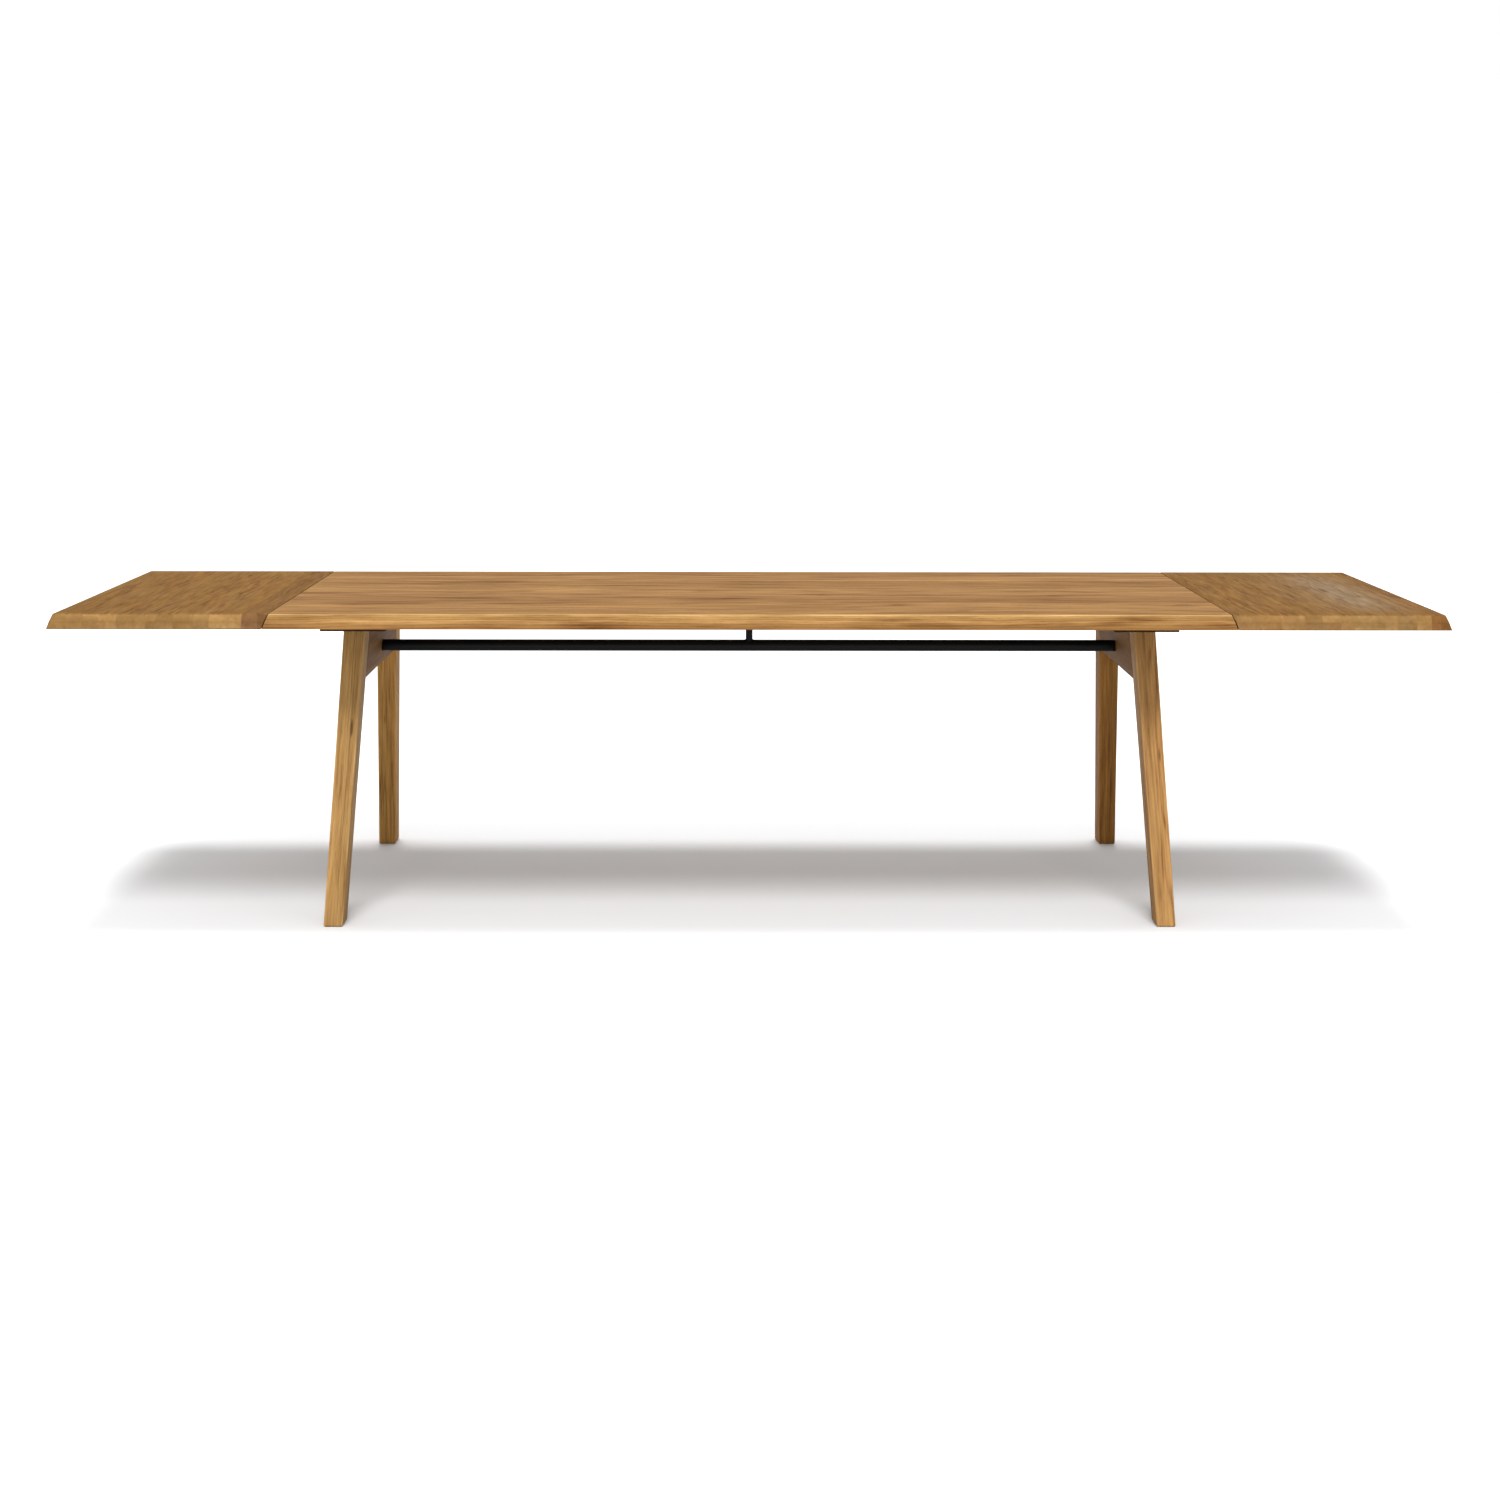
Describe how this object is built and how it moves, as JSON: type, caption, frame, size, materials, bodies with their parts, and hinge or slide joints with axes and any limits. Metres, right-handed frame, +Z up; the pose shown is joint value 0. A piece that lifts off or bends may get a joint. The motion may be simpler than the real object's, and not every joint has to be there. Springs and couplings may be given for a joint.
{
  "type": "extendable dining table",
  "caption": "Rectangular oak dining table on leaning A-shaped end frames joined by a steel stretcher, with loose end leaves carried by pull-out arms.",
  "frame": {"origin": "floor level under the middle of the table, with both leaves on", "axes": "+X along the table's length, +Y from the front long side to the back one, +Z up"},
  "size_m": [3.369, 0.9996, 0.765],
  "materials": {
    "oak_top": "oiled, lengthwise grain",
    "oak_leaf": "oiled, crosswise grain, a little darker than the top",
    "oak_leg": "oiled, upright grain",
    "oak_inner": "oiled, in the shade of the top",
    "beech_pin": "plain turned",
    "black_steel": "black, satin",
    "zinc_steel": "bright zinc"
  },
  "bodies": {
    "table": {"main_top": "oak_top", "leg_front_left": "oak_leg", "leg_front_right": "oak_leg", "leg_back_left": "oak_leg", "leg_back_right": "oak_leg", "frame_rail_left": "oak_inner", "bearer_left_front": "oak_inner", "guide_spacer_left_front": "oak_inner", "bearer_left_middle": "oak_inner", "guide_spacer_left_middle": "oak_inner", "bearer_left_back": "oak_inner", "guide_spacer_left_back": "oak_inner", "guide_strap_left": "black_steel", "bar_bolt_left": "zinc_steel", "post_screw_left": "zinc_steel", "guide_screw_left_front": "zinc_steel", "frame_screw_left_front": "zinc_steel", "guide_screw_left_back": "zinc_steel", "frame_screw_left_back": "zinc_steel", "frame_rail_right": "oak_inner", "bearer_right_front": "oak_inner", "guide_spacer_right_front": "oak_inner", "bearer_right_middle": "oak_inner", "guide_spacer_right_middle": "oak_inner", "bearer_right_back": "oak_inner", "guide_spacer_right_back": "oak_inner", "guide_strap_right": "black_steel", "bar_bolt_right": "zinc_steel", "post_screw_right": "zinc_steel", "guide_screw_right_front": "zinc_steel", "frame_screw_right_front": "zinc_steel", "guide_screw_right_back": "zinc_steel", "frame_screw_right_back": "zinc_steel", "stretcher_bar": "black_steel", "centre_post": "black_steel", "post_plate": "black_steel"},
    "leaf_left": {"leaf_left": "oak_leaf", "dowel_left_front": "beech_pin", "dowel_left_back": "beech_pin"},
    "arm_left_front": {"arm_left_front": "oak_inner", "arm_stop_left_front": "beech_pin", "arm_grip_left_front": "beech_pin"},
    "arm_left_back": {"arm_left_back": "oak_inner", "arm_stop_left_back": "beech_pin", "arm_grip_left_back": "beech_pin"},
    "leaf_right": {"leaf_right": "oak_leaf", "dowel_right_front": "beech_pin", "dowel_right_back": "beech_pin"},
    "arm_right_front": {"arm_right_front": "oak_inner", "arm_stop_right_front": "beech_pin", "arm_grip_right_front": "beech_pin"},
    "arm_right_back": {"arm_right_back": "oak_inner", "arm_stop_right_back": "beech_pin", "arm_grip_right_back": "beech_pin"}
  },
  "joints": [
    {"name": "leaf_left_slide", "type": "slide", "parent": "table", "child": "leaf_left", "axis": [-1, 0, 0], "range_m": [0, 0.6]},
    {"name": "arm_left_front_slide", "type": "slide", "parent": "table", "child": "arm_left_front", "axis": [1, 0, 0], "range_m": [0, 0.455]},
    {"name": "arm_left_back_slide", "type": "slide", "parent": "table", "child": "arm_left_back", "axis": [1, 0, 0], "range_m": [0, 0.455]},
    {"name": "leaf_right_slide", "type": "slide", "parent": "table", "child": "leaf_right", "axis": [1, 0, 0], "range_m": [0, 0.6]},
    {"name": "arm_right_front_slide", "type": "slide", "parent": "table", "child": "arm_right_front", "axis": [-1, 0, 0], "range_m": [0, 0.455]},
    {"name": "arm_right_back_slide", "type": "slide", "parent": "table", "child": "arm_right_back", "axis": [-1, 0, 0], "range_m": [0, 0.455]}
  ]
}
